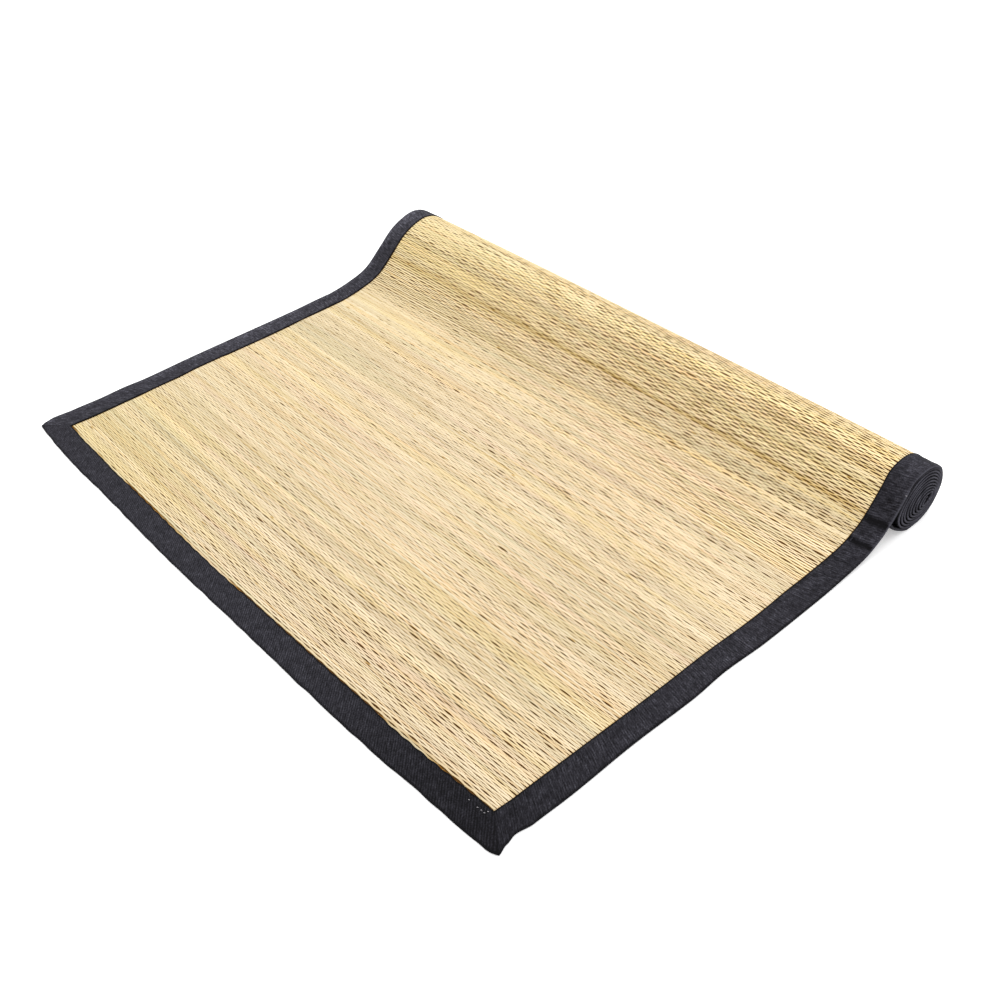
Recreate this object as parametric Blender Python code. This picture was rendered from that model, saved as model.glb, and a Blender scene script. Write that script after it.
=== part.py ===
"""Woven grass mat with a dark cloth binding, half unrolled.

The mat lies flat in front and is wound into a loose, slightly skewed oval roll behind.
X runs across the mat, along its reeds. Y runs from the flat end towards the roll. Z is up.
The origin is on the floor, in the middle of the mat's footprint.
"""
import bmesh
import bpy

# Driving dimensions, in metres
WIDTH = 0.76
BINDING_WIDTH = 0.0263
PANEL_THICKNESS = 0.0020
BINDING_THICKNESS = 0.0026
FOLD_ROUNDING = 0.0008
GAP = 0.0003

# The front edge bows out between its corners. The crest of the roll runs askew, and the roll
# is a little fuller between its ends
FRONT_BOW = 0.0088
CREST_BACK_LEFT = 0.5255
CREST_BACK_RIGHT = 0.5125
CREST_HEIGHT_LEFT = 0.0618
CREST_HEIGHT_RIGHT = 0.0592
CREST_SWELL = 0.0024

# From the line of the front corners to the middle of the footprint
ORIGIN_BACK = 0.2764

# Where the mitre seams meet the outer edge, behind the line of the front corners
LEFT_TIP_BACK = 0.0008
RIGHT_TIP_BACK = 0.0012

# How far the side edges run out of straight, as distances along the mat from the front corners
EDGE_COLUMNS = ("back", "left_out", "right_out")
EDGE_ROWS = (
    (0.000, 0.0000, 0.0012),
    (0.010, 0.0036, 0.0008),
    (0.022, 0.0046, -0.0024),
    (0.036, 0.0027, 0.0003),
    (0.060, 0.0004, 0.0008),
    (0.110, 0.0002, -0.0009),
    (0.170, -0.0010, 0.0002),
    (0.230, 0.0000, -0.0010),
    (0.310, 0.0008, 0.0009),
    (0.390, 0.0004, 0.0000),
    (0.465, 0.0000, -0.0014),
)

# The line that the upper face follows, from the floor over the roll and round under it
# back is measured from the crest, and height as a share of the crest's height
LINE_COLUMNS = ("place", "left_back", "left_height", "right_back", "right_height")
RISE_ROWS = (
    ("lift", -0.140, 0.000, -0.138, 0.000),
    ("toe", -0.110, 0.100, -0.086, 0.100),
    ("slope", -0.082, 0.235, -0.064, 0.220),
    ("touch", -0.057, 0.540, -0.048, 0.400),
)
ROLL_ROWS = (
    ("shoulder", -0.037, 0.800, -0.029, 0.730),
    ("brow", -0.018, 0.945, -0.018, 0.940),
    ("crest", 0.000, 1.000, 0.000, 1.000),
    ("nape", 0.016, 0.930, 0.016, 0.935),
    ("back", 0.030, 0.730, 0.0285, 0.760),
    ("low back", 0.035, 0.460, 0.0325, 0.460),
    ("heel", 0.028, 0.200, 0.0240, 0.210),
    ("floor behind", 0.004, 0.000, 0.003, 0.000),
    ("floor before", -0.014, 0.000, -0.015, 0.000),
    ("belly", -0.041, 0.170, -0.036, 0.200),
)
FLAT_START = "floor behind"

STEPS_PER_ROW = 4
PANEL_STATIONS = 13
EDGE_POINTS = 15
EDGE_CROWDING = 1.7


def blend(low, high, share):
    """Value between low and high at a share from 0 to 1."""
    return low + (high - low) * share


def across(x):
    """Share of the mat's width at x, from the left edge to the right."""
    return (x + WIDTH / 2) / WIDTH


def edge_run(back, column):
    """How far a side edge stands out of straight at a distance along the mat."""
    index = EDGE_COLUMNS.index(column)
    if back <= EDGE_ROWS[0][0]:
        return EDGE_ROWS[0][index]
    for near, far in zip(EDGE_ROWS, EDGE_ROWS[1:]):
        if back <= far[0]:
            share = (back - near[0]) / (far[0] - near[0])
            eased = share * share * (3 - 2 * share)
            return blend(near[index], far[index], eased)
    return EDGE_ROWS[-1][index]


def front_bow(x):
    """How far the front edge stands in front of its corners at x."""
    share = min(max(across(x), 0.0), 1.0)
    return FRONT_BOW * 4 * share * (1 - share)


def row_point(row, x):
    """The place of one row of the line at x, as back and height."""
    values = dict(zip(LINE_COLUMNS, row))
    share = across(x)
    crest_back = blend(CREST_BACK_LEFT, CREST_BACK_RIGHT, share)
    swell = CREST_SWELL * (1 - (2 * share - 1) ** 4)
    crest_height = blend(CREST_HEIGHT_LEFT, CREST_HEIGHT_RIGHT, share) + swell
    back = crest_back + blend(values["left_back"], values["right_back"], share)
    return back, crest_height * blend(values["left_height"], values["right_height"], share)


def curve_point(before, start, end, after, share):
    """A point of the smooth curve between start and end."""
    point = []
    for b, s, e, a in zip(before, start, end, after):
        point.append(
            s
            + share * (e - b) / 2
            + share ** 2 * (2 * b - 5 * s + 4 * e - a) / 2
            + share ** 3 * (3 * s - b - 3 * e + a) / 2
        )
    return tuple(point)


def smooth_line(controls):
    """Points along a smooth curve through the controls, with the first and last as guides only."""
    points = [controls[1]]
    for place in range(1, len(controls) - 2):
        for step in range(1, STEPS_PER_ROW + 1):
            points.append(curve_point(*controls[place - 1:place + 3], step / STEPS_PER_ROW))
    return points


def offset_line(points, distance):
    """Points moved sideways from their line, to the left of its direction."""
    moved = []
    last = len(points) - 1
    for place, (back, height) in enumerate(points):
        ahead = points[min(place + 1, last)]
        behind = points[max(place - 1, 0)]
        run, climb = ahead[0] - behind[0], ahead[1] - behind[1]
        length = (run * run + climb * climb) ** 0.5
        moved.append((back - distance * climb / length, height + distance * run / length))
    return moved


def mat_section(x, proud, thickness, inset):
    """Upper line, lower line and roll line of the mat at x, behind its lift from the floor.

    proud is how far the piece stands over the panel's upper face, and inset draws both of its
    faces in where its folded edge is rounded off. The roll line starts where the rising sheet
    touches the roll, and ends on the sheet's lower face there.
    """
    rise = [row_point(row, x) for row in RISE_ROWS]
    rise = [(back, max(height, PANEL_THICKNESS)) for back, height in rise]
    roll = [row_point(row, x) for row in ROLL_ROWS]
    before_lift = (2 * rise[0][0] - rise[1][0], rise[0][1])
    upper = smooth_line([before_lift] + rise + [roll[0]])
    lower = offset_line(upper, proud - thickness + inset)
    nose = offset_line(upper, -PANEL_THICKNESS)[-1]

    flat_row = [row[0] for row in ROLL_ROWS].index(FLAT_START)
    over = smooth_line([rise[-2], rise[-1]] + roll[:flat_row + 2])
    under = smooth_line([roll[flat_row]] + roll[flat_row + 1:] + [nose, rise[-1]])
    around = offset_line(over + under, proud - inset)

    floor = inset
    upper = offset_line(upper, proud - inset)[:-1] + [around[0]]
    lower = [(back, max(height, floor)) for back, height in lower]
    around = [(back, max(height, floor)) for back, height in around[1:-1]]
    return upper, lower, around


def mat_ring(x_of, front, x, proud, thickness, inset, flat_backs):
    """One closed ring of the mat's outline, and the number of matching upper and lower points."""
    upper, lower, around = mat_section(x, proud, thickness, inset)
    flat_top = PANEL_THICKNESS + proud - inset
    backs = [blend(front, upper[0][0], share) for share in flat_backs]
    upper = [(back, flat_top) for back in backs] + upper
    lower = [(back, inset) for back in backs] + lower
    outline = upper + around + lower[::-1]
    ring = [(x_of(back), back - ORIGIN_BACK, height) for back, height in outline]
    return ring, len(upper)


def new_piece(name, rings, pairs, collection, material):
    """Skin a row of like rings into one closed body, its end faces made of strips and a head."""
    shape = bmesh.new()
    skins = [[shape.verts.new(point) for point in ring] for ring in rings]
    count = len(rings[0])
    for near, far in zip(skins, skins[1:]):
        for place in range(count):
            following = (place + 1) % count
            shape.faces.new((near[place], near[following], far[following], far[place]))
    for ring in (skins[0], skins[-1]):
        for place in range(pairs - 1):
            shape.faces.new((ring[place], ring[place + 1], ring[-place - 2], ring[-place - 1]))
        if count > 2 * pairs:
            shape.faces.new(ring[pairs - 1:count - pairs + 1])
    bmesh.ops.recalc_face_normals(shape, faces=shape.faces)
    mesh = bpy.data.meshes.new(name)
    shape.to_mesh(mesh)
    shape.free()
    mesh.materials.append(material)
    piece = bpy.data.objects.new(name, mesh)
    collection.objects.link(piece)
    return piece


def new_material(name, colour, roughness):
    """A plain cloth finish."""
    material = bpy.data.materials.new(name)
    material.use_nodes = True
    shader = material.node_tree.nodes["Principled BSDF"]
    shader.inputs["Base Color"].default_value = (*colour, 1.0)
    shader.inputs["Roughness"].default_value = roughness
    shader.inputs["Metallic"].default_value = 0.0
    return material


def grass_panel(collection):
    """The woven grass: its flat length, the rise and the wound roll in one solid."""
    reach = WIDTH / 2 - BINDING_WIDTH - GAP
    rings = []
    for station in range(PANEL_STATIONS):
        x = blend(-reach, reach, station / (PANEL_STATIONS - 1))
        front = BINDING_WIDTH + GAP - front_bow(x)
        ring, pairs = mat_ring(
            lambda back, x=x: x, front, x, 0.0, PANEL_THICKNESS, 0.0, (0.0,)
        )
        rings.append(ring)
    straw = new_material("grass_straw", (0.70, 0.54, 0.27), 0.62)
    new_piece("grass_panel", rings, pairs, collection, straw)


def side_binding(name, side, tip_back, column, collection, material):
    """The folded tape along one side, mitred at the front and wound up with the panel."""
    proud = BINDING_THICKNESS - PANEL_THICKNESS
    inner = side * (WIDTH / 2 - BINDING_WIDTH)
    mitre_gap = GAP / 2 ** 0.5
    flat_shares = [(place / EDGE_POINTS) ** EDGE_CROWDING for place in range(EDGE_POINTS)]
    near_edge = 1 - 2 * FOLD_ROUNDING / BINDING_WIDTH
    rings = []
    for out, inset in ((0.0, 0.0), (near_edge, 0.0), (1.0, FOLD_ROUNDING)):

        def x_of(back, out=out):
            edge = side * (WIDTH / 2 + edge_run(back, column))
            return blend(inner, edge, out)

        front = blend(BINDING_WIDTH, tip_back, out) + mitre_gap
        ring, pairs = mat_ring(
            x_of, front, x_of(front), proud, BINDING_THICKNESS, inset, flat_shares
        )
        rings.append(ring)
    new_piece(name, rings, pairs, collection, material)


def front_binding(collection, material):
    """The folded tape along the front end, bowed, with a mitre at each corner."""
    mitre_gap = GAP / 2 ** 0.5
    inner = WIDTH / 2 - BINDING_WIDTH - mitre_gap
    left = -WIDTH / 2 - edge_run(0.0, "left_out") + mitre_gap
    right = WIDTH / 2 + edge_run(0.0, "right_out") - mitre_gap
    rings = []
    for station in range(PANEL_STATIONS):
        share = station / (PANEL_STATIONS - 1)
        inner_x = blend(-inner, inner, share)
        outer_x = blend(left, right, share)
        bow = FRONT_BOW * 4 * share * (1 - share)
        inner_back = BINDING_WIDTH - front_bow(inner_x)
        outer_back = -bow
        if station == 0:
            outer_back = LEFT_TIP_BACK
        if station == PANEL_STATIONS - 1:
            outer_back = RIGHT_TIP_BACK
        near = 2 * FOLD_ROUNDING / BINDING_WIDTH
        near_x = blend(outer_x, inner_x, near)
        near_back = blend(outer_back, inner_back, near)
        thickness = BINDING_THICKNESS
        section = (
            (outer_x, outer_back, FOLD_ROUNDING),
            (outer_x, outer_back, thickness - FOLD_ROUNDING),
            (near_x, near_back, thickness),
            (inner_x, inner_back, thickness),
            (inner_x, inner_back, 0.0),
            (near_x, near_back, 0.0),
        )
        rings.append([(x, back - ORIGIN_BACK, height) for x, back, height in section])
    new_piece("front_binding", rings, 1, collection, material)


def main():
    """Clear the scene and build the mat."""
    for old in list(bpy.data.objects):
        bpy.data.objects.remove(old, do_unlink=True)
    collection = bpy.data.collections.new("grass_yoga_mat")
    bpy.context.scene.collection.children.link(collection)
    grass_panel(collection)
    finish = ((0.024, 0.024, 0.031), 0.85)
    front_binding(collection, new_material("front_tape", *finish))
    side_binding(
        "left_binding", -1, LEFT_TIP_BACK, "left_out", collection, new_material("left_tape", *finish)
    )
    side_binding(
        "right_binding", 1, RIGHT_TIP_BACK, "right_out", collection, new_material("right_tape", *finish)
    )


main()
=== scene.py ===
"""Looks of the half unrolled grass mat.

Woven reeds on cotton warps, a tape folded and stitched round the edges, and the turns of the
roll at both of its ends. X runs across the mat along its reeds, Y from the flat end towards the
roll, Z up. "Back" is a distance behind the line of the front corners.
"""

import math

import bpy
import numpy as np
from mathutils import Matrix


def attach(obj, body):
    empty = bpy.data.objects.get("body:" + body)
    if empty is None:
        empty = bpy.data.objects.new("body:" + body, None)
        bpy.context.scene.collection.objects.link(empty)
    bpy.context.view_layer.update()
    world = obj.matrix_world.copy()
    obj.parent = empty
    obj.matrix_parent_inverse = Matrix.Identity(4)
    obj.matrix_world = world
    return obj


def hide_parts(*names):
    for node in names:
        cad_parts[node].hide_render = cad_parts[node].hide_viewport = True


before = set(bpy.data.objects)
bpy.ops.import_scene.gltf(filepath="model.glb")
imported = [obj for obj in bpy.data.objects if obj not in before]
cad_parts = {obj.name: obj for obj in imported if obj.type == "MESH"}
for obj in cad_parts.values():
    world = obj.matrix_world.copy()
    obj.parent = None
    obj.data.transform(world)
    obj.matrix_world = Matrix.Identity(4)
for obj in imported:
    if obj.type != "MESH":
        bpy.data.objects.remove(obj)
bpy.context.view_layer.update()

# The mat's plan and the line of its upper face, as the solids have them, in metres. In all that
# follows a pair named for sides holds the left value and the right one, and a pair named for a
# step holds where the step starts and how far it reaches
WIDTH = 0.76
BINDING_WIDTH = 0.0263
PANEL_THICKNESS = 0.0020
BINDING_THICKNESS = 0.0026
FRONT_BOW = 0.0088
CREST_BACK_SIDES = (0.5255, 0.5125)
CREST_HEIGHT_SIDES = (0.0618, 0.0592)
CREST_SWELL = 0.0024
ORIGIN_BACK = 0.2764

# How far the side edges run out of straight, at places behind the front corners
LEFT_FOLD_ROWS = (
    (0.000, -0.0016), (0.008, 0.0018), (0.018, 0.0036), (0.040, 0.0014), (0.075, -0.0002),
    (0.100, 0.0004), (0.130, -0.0016), (0.190, -0.0004), (0.330, -0.0012), (0.372, 0.0003),
    (0.465, 0.0000),
)
RIGHT_FOLD_ROWS = (
    (0.0037, 0.0028), (0.014, -0.0004), (0.024, -0.0026), (0.040, 0.0000), (0.075, 0.0006),
    (0.145, -0.0009), (0.210, 0.0002), (0.250, -0.0016), (0.300, 0.0004), (0.465, -0.0014),
)
LEFT_LIP_ROWS = (
    (0.026, -0.0005), (0.055, -0.0022), (0.150, -0.0022), (0.190, -0.0005), (0.260, -0.0025),
    (0.370, -0.0003), (0.465, -0.0008),
)
RIGHT_LIP_ROWS = (
    (0.0255, -0.0015), (0.045, -0.0006), (0.205, 0.0006), (0.250, 0.0001), (0.310, 0.0013),
    (0.370, -0.0003), (0.465, 0.0000),
)

# How far the front tape's two edges run towards the front out of the bow, at places across
FRONT_FOLD_ROWS = (
    (-0.3784, -0.0012), (-0.355, 0.0001), (-0.295, 0.0012), (-0.200, -0.0005), (-0.090, 0.0000),
    (0.040, -0.0009), (0.240, 0.0009), (0.310, -0.0002), (0.345, 0.0003), (0.368, -0.0003),
    (0.3828, 0.0009),
)
FRONT_LIP_ROWS = (
    (-0.3532, 0.0003), (-0.310, 0.0012), (-0.280, 0.0006), (-0.240, 0.0012), (-0.200, 0.0002),
    (-0.025, 0.0008), (0.050, -0.0006), (0.200, -0.0003), (0.240, 0.0011), (0.3522, -0.0004),
)
TIP_ROUNDING = 0.0046
TIP_ROUNDING_REACH = 0.014

# The section's places: back from the crest and height as a share of the crest's, at the left
# edge and then at the right
RISE_ROWS = (
    (-0.140, 0.000, -0.138, 0.000),
    (-0.110, 0.100, -0.086, 0.100),
    (-0.082, 0.235, -0.064, 0.220),
    (-0.057, 0.540, -0.048, 0.400),
)
ROLL_ROWS = (
    (-0.037, 0.800, -0.029, 0.730),
    (-0.018, 0.945, -0.018, 0.940),
    (0.000, 1.000, 0.000, 1.000),
    (0.016, 0.930, 0.016, 0.935),
    (0.030, 0.730, 0.0285, 0.760),
    (0.035, 0.460, 0.0325, 0.460),
    (0.028, 0.200, 0.0240, 0.210),
    (0.004, 0.000, 0.003, 0.000),
    (-0.014, 0.000, -0.015, 0.000),
    (-0.041, 0.170, -0.037, 0.200),
)
FLOOR_ROW = 7
CURVE_STEPS = 12
PANEL_STEPS = 2
RISE_STEPS = 18

# The wound turns: they close in on a narrow tilted slot, and each stands out a little more at
# the right end
TURNS = 10.25
CLOSING_IN = 0.84
CLOSING_START = 0.62
SOFTENING_STEP = (0.95, 1.3)
CORE_BACK = 0.0064
CORE_HEIGHT = 0.415
SLOT_LONG = 0.0072
SLOT_SHORT = 0.0030
SLOT_TILT = math.radians(24)
CORNER_SOFTENING = math.radians(20)
TURN_SHIFT = 0.00026
TURN_UNEVEN = 0.0003
UNEVEN_START = 0.6
FIRST_RECESS = 0.0010
RECESS_LOST = 0.7
RECESS_LOST_STEP = (0.55, 0.3)
OUTER_THICKNESS = 0.0022
INNER_THICKNESS = 0.0017
THINNING_STEP = (0.7, 1.2)
FIRST_TURN_STEPS = 132
TURN_STEPS = 50
ROUND_STEPS = 360

# The weave: reeds side by side, and the warps that cross them
REED_PITCH = 0.00198
REED_STEPS = 3
REED_UNEVEN = 0.22
REED_HEIGHT = 0.0009
REED_SLIP = 0.00006
REED_PIECES = 8
REEDS_END_TURN = 0.82
WARP_PITCH = 0.0080
WARP_WANDER = 0.0009
WARP_RADIUS = 0.00022
WARP_DROP = 0.0009
WAVE_HEIGHT = 0.00012
UPPER_DROP = 0.00010
LOWER_RISE = 0.00030
LOWER_WAVE = 0.4

# The slits between the reeds, darkened by painted shade: how open they are at the left and the right,
# how much more so on the roll and at the front, how much less in the calm middle, and how uneven they
# are
GAP_OPENING = 0.00046
GAP_MOST = 2.4
GAP_LENGTHENED = 0.52
GAP_NARROWS = 0.06
GAP_SHADE = 0.35
GAP_SIDES = (0.38, 0.72)
GAP_SIDES_REACH = 0.8
GAP_ROLLED_SIDES = (0.42, 1.40)
GAP_ROLLED_STEP = (0.39, 0.09)
GAP_FRONT = 0.15
GAP_FRONT_STEP = (0.13, -0.08)
CALM = 0.34
CALM_ACROSS = (0.03, 0.16)
CALM_ALONG = (0.20, 0.08)
GAP_CROSSING = 0.90
GAP_LASTING = 0.20
GAP_PAIRING = 0.5
GAP_UNEVEN = 0.42
GAP_RUNS = 0.28
GAP_PATCHES = 0.20

# How far the grass reaches under the tapes, where they press it down, and the core under the reeds
TUCK = 0.0030
PRESS = 0.0007
PRESS_STEP = (-0.0004, 0.0012)
CORE_INSET = 0.0225
CORE_FACES = (-0.00105, -0.00135)
CORE_STATIONS = 15

# The line of brown reeds in the hollow: where it starts and ends, and how soft it is
BROWN_LINE = (0.4525, 0.4635)
BROWN_SOFTNESS = 0.005

# The strips' sections: share of the width to each side and share of the height
UPPER_PROFILE = ((-0.50, 0.00), (-0.38, 1.00), (0.38, 1.00), (0.50, 0.00))
LOWER_PROFILE = ((0.48, 0.30), (0.00, 1.00), (-0.48, 0.30))

# The folded tape. Its upper lip is given from the inner edge inwards, with the drop as a share of
# the lip's thickness, and its faces from the outer fold inwards
TURN_IN = 0.0040
LIP = 0.0007
LIP_SECTION = (
    (-0.0012, 1.0), (-0.0002, 0.8), (0.00005, 0.5), (-0.0002, 0.15),
    (-0.0007, 0.0), (-0.0011, 0.0), (-0.0017, 0.0),
)
TOP_PLACES = (
    0.0230, 0.0210, 0.0190, 0.0165, 0.0140, 0.0115, 0.0090, 0.0068, 0.0048, 0.0032, 0.0020,
)
FOLD_REACH = 0.0011
UNDER_PLACES = (0.0020, 0.0060, 0.0130, 0.0200)
MITRE_DROP = 0.0001
MITRE_FADE = 0.012
TAPE_SAG = 0.0002
FRONT_SAG = 0.00018
FRONT_PUCKERS = 0.00016
SIDE_PUCKERS = 0.00022
PUCKER_WAVES = 9
PUCKER_SCALES = (0.007, 0.022)
PUCKER_LEAN = 0.7
PUCKER_OUTER_STEP = (0.0, 0.004)
PUCKER_INNER_STEP = (BINDING_WIDTH + 0.0005, -0.003)
INNER_WAVER = 0.0002
OUTER_WAVER = 0.00025
FLAT_STEPS = 190
FRONT_STEPS = 440
FRONT_END_RISE = 25
FRONT_PITCH = 0.0020
FRONT_WALES = math.radians(46)
SIDE_PITCH = 0.0022
SIDE_WALES = math.radians(79)

# The creases across the right tape: back, half width and depth, from the top of the rise down
CREASES = ((0.4630, 0.0024, 0.0013), (0.4425, 0.0022, 0.0013), (0.4180, 0.0013, 0.0004))
DEEP_CREASE = 0.0013
CREASE_BEND = 0.0006
CREASE_BEND_TURN = 260
CREASE_OUTER_STEP = (0.0005, 0.002)
CREASE_INNER_STEP = (BINDING_WIDTH, -0.006)
CREASE_END_TURN = 0.02
# The ridges beside the creases: how far off and how high, their painted highlight, and the painted
# shade in the troughs
RIDGE_OFF = 1.9
RIDGE_HEIGHT = 0.35
RIDGE_PAINTED_HIGHLIGHT = 0.18
TROUGH_PAINTED_SHADE = 0.60

# The stitches, and the scallops that the tape's inner edge makes over the warps
STITCH_PITCH = 0.0043
STITCH_LENGTH = 0.0029
STITCH_INSET = 0.0030
STITCH_RADIUS = 0.00022
STITCH_FIRST = 4
STITCHES_END_TURN = 0.6
SCALLOP = 0.00030

# How the tapes' folds are coloured: painted shade darkens the fold where it lies flat, and round the
# roll the fold is paler from wear and a painted highlight, less so where the second turn begins, as
# painted shade
FOLD_SHADE_AND_WEAR_REACH = 0.0013
FOLD_PAINTED_SHADE = -0.35
FOLD_WEAR_AND_HIGHLIGHT = 0.32
FOLD_WEAR_AND_HIGHLIGHT_UNEVEN = 0.08
SECOND_TURN_PAINTED_SHADE = (1.12, 0.20, -0.45)
ROLLED_STEP = (0.40, 0.05)
# How far in from the outer fold the band of painted light on a side tape reaches
OUTER_PAINTED_LIGHT_REACH = 0.013
# Painted shade: black along the tapes' upper lips, where they meet the grass
LIP_PAINTED_SHADE_LEVEL = 0.85
EDGE_STEP = (-0.0017, 0.0007)
# Painted shade: black over the inner turns' faces away from their folds, deep in the roll
INNER_TURNS_PAINTED_SHADE = 0.95
INNER_TURNS_STEP = (0.9, 0.2)
INNER_FACE_STEP = (0.0003, 0.0010)
SEAM_DARK = 0.2
SEAM_DARKER = 0.5

# Broad stretches of painted light and shade on the tapes: the middle and the reach of each, and how
# much lighter it is. They lie across the front for the front tape, and from the front along the sides
# for the others
FRONT_PAINTED_TONES = ((0.40, 0.19, -0.32),)
LEFT_PAINTED_TONES = ((0.27, 0.11, 0.09), (0.46, 0.02, -0.06), (0.52, 0.03, 0.14))
RIGHT_PAINTED_TONES = ((0.00, 0.04, -0.12), (0.27, 0.13, 0.08), (0.475, 0.02, -0.10), (0.52, 0.03, 0.15))

# The same painted light and shade for the grass, with how much lighter each stretch is at the left and
# the right edge: the start of the rise, the hollow and the top of the roll, and what lies behind it
GRASS_PAINTED_TONES = (
    (0.390, 0.021, -0.09, 0.26),
    (0.445, 0.014, 0.12, -0.10),
    (0.515, 0.050, 0.10, 0.33),
    (0.650, 0.050, -0.08, -0.08),
)
# Behind this the grass keeps the painted shade of the last stretch
GRASS_PAINTED_SHADE_BACK = 0.650

# Pale stitches near the right front corner: x and back of each
PALE_STITCHES = (
    (0.3317, 0.0188), (0.3413, 0.0189), (0.3451, 0.0193), (0.3485, 0.0194), (0.3496, 0.0221),
)
PALE_RADIUS = 0.00028
PALE_REACH = (0.0006, 0.0003, 0.0)
# A bit of pale lint by the fold of the roll's right end
LINT_PLACE = (0.3780, 0.4856, 0.0460)
LINT_UP = (0.5, -0.55, 0.67)
LINT_RADIUS = 0.0004

# The whole mat's length, the least height over the floor, and the millimetres in a metre
MAT_LENGTH = 1.83
FLOOR_CLEAR = 0.0002
MILLIMETRES = 1000

# The studio
FLOOR_SIZE = 8.0
FLOOR_GLOW = 0.35
FLOOR_DROP = 0.0004
WORLD_STRENGTH = 1.0
OVERHEAD_PLACE = (-0.2, 0.3, 2.2)
OVERHEAD_SIZE = 3.0
OVERHEAD_POWER = 34.0
CAMERA_PLACE = (0.80677, -0.57048, 0.73883)
CAMERA_TURN = math.radians(43.996)
CAMERA_TILT = math.radians(50.919)
CAMERA_LEAN = math.radians(6.466)
CAMERA_LENS = 43.99
CAMERA_SENSOR = 36.0
CAMERA_CLIP = 0.01

random = np.random.default_rng(20)


def blend(low, high, share):
    """Value between low and high at a share from 0 to 1."""
    return low + (high - low) * share


def ease(value):
    """0 below 0, 1 above 1 and a soft step between."""
    share = np.clip(value, 0.0, 1.0)
    return share * share * (3 - 2 * share)


def step(value, start, reach):
    """0 up to a start and 1 past a reach from it, the other way round if the reach is negative."""
    return ease((value - start) / reach)


def across(x):
    """Share of the mat's width at x, from the left edge to the right."""
    return (x + WIDTH / 2) / WIDTH


def from_rows(rows, places):
    """Values at places, from rows of a place and a value, with soft steps between the rows."""
    rows = np.array(rows)
    places = np.clip(places, rows[0, 0], rows[-1, 0])
    row = np.clip(np.searchsorted(rows[:, 0], places) - 1, 0, len(rows) - 2)
    share = (places - rows[row, 0]) / (rows[row + 1, 0] - rows[row, 0])
    return blend(rows[row, 1], rows[row + 1, 1], ease(share))


def swelling(places, middle, reach):
    """1 at the middle of a stretch, fading out softly to both sides within its reach."""
    return np.exp(-(((places - middle) / reach) ** 2))


def painted_lightness(stretches, places):
    """How much painted light the stretches give a tape at places, each with a middle, a reach and a
    light.
    """
    return sum(light * swelling(places, middle, reach) for middle, reach, light in stretches)


def soft_noise(places, scale, seed, waves=5):
    """Smooth seeded unevenness from about -1 to 1 along places, with features of a scale."""
    draw = np.random.default_rng(seed)
    total = np.zeros_like(places)
    for _ in range(waves):
        turns = places / (scale * draw.uniform(0.6, 2.2)) + draw.uniform()
        total = total + np.sin(2 * math.pi * turns)
    return total / math.sqrt(waves)


def soft_field(x, y, x_scale, y_scale, seed, waves=14):
    """Smooth seeded unevenness from about -1 to 1 over a plane, in patches of two scales."""
    draw = np.random.default_rng(seed)
    total = np.zeros(np.broadcast(x, y).shape)
    for _ in range(waves):
        x_turns = x / (x_scale * draw.uniform(0.7, 2.0)) * draw.choice([-1, 1])
        y_turns = y / (y_scale * draw.uniform(0.7, 2.0))
        total = total + np.sin(2 * math.pi * (x_turns + y_turns + draw.uniform()))
    return total / math.sqrt(waves)


# The mat's plan and section


def fold_x(back, side):
    """Where the outer fold of a side tape lies, at distances behind the front."""
    rows = RIGHT_FOLD_ROWS if side > 0 else LEFT_FOLD_ROWS
    return side * (WIDTH / 2 + from_rows(rows, back))


def lip_x(back, side):
    """Where the inner edge of a side tape lies, at distances behind the front."""
    rows = RIGHT_LIP_ROWS if side > 0 else LEFT_LIP_ROWS
    return side * (WIDTH / 2 - BINDING_WIDTH + from_rows(rows, back))


def front_bow(x):
    """How far the front edge stands in front of its corners at x."""
    share = np.clip(across(x), 0.0, 1.0)
    return FRONT_BOW * 4 * share * (1 - share)


def front_fold(x):
    """How far behind the front corners the front tape's outer fold lies at x."""
    tip = RIGHT_FOLD_ROWS[0][1] + WIDTH / 2
    near_tip = np.clip(1 - (tip - x) / TIP_ROUNDING_REACH, 0, 1)
    return TIP_ROUNDING * near_tip ** 2 - front_bow(x) - from_rows(FRONT_FOLD_ROWS, x)


def front_lip(x):
    """How far the front tape's inner edge lies behind the front corners at x."""
    return BINDING_WIDTH - front_bow(x) - from_rows(FRONT_LIP_ROWS, x)


def corner(side):
    """The tip and the inner corner of a front corner's mitre, as x and back."""
    tip_x = fold_x(0.0, side)
    lip_corner_x = lip_x(0.0, side)
    return np.array([tip_x, front_fold(tip_x)]), np.array([lip_corner_x, front_lip(lip_corner_x)])


def crest(x):
    """Back and height of the roll's crest at x."""
    share = across(x)
    swell = CREST_SWELL * (1 - (2 * share - 1) ** 4)
    return blend(*CREST_BACK_SIDES, share), blend(*CREST_HEIGHT_SIDES, share) + swell


def row_points(rows, x):
    """Places of the section's rows at x, as back and height."""
    left_back, left_height, right_back, right_height = np.array(rows).T
    crest_back, crest_height = crest(x)
    back = crest_back + blend(left_back, right_back, across(x))
    return np.stack([back, crest_height * blend(left_height, right_height, across(x))], axis=1)


def smooth_curve(controls, steps):
    """Points of a smooth curve through the controls, with the first and last as guides only."""
    controls = np.asarray(controls)
    share = np.linspace(0, 1, steps, endpoint=False)[:, None]
    parts = []
    for place in range(1, len(controls) - 2):
        before, start, end, after = controls[place - 1:place + 3]
        parts.append(
            start
            + share * (end - before) / 2
            + share ** 2 * (2 * before - 5 * start + 4 * end - after) / 2
            + share ** 3 * (3 * start - before - 3 * end + after) / 2
        )
    parts.append(controls[-2][None])
    return np.concatenate(parts)


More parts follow.
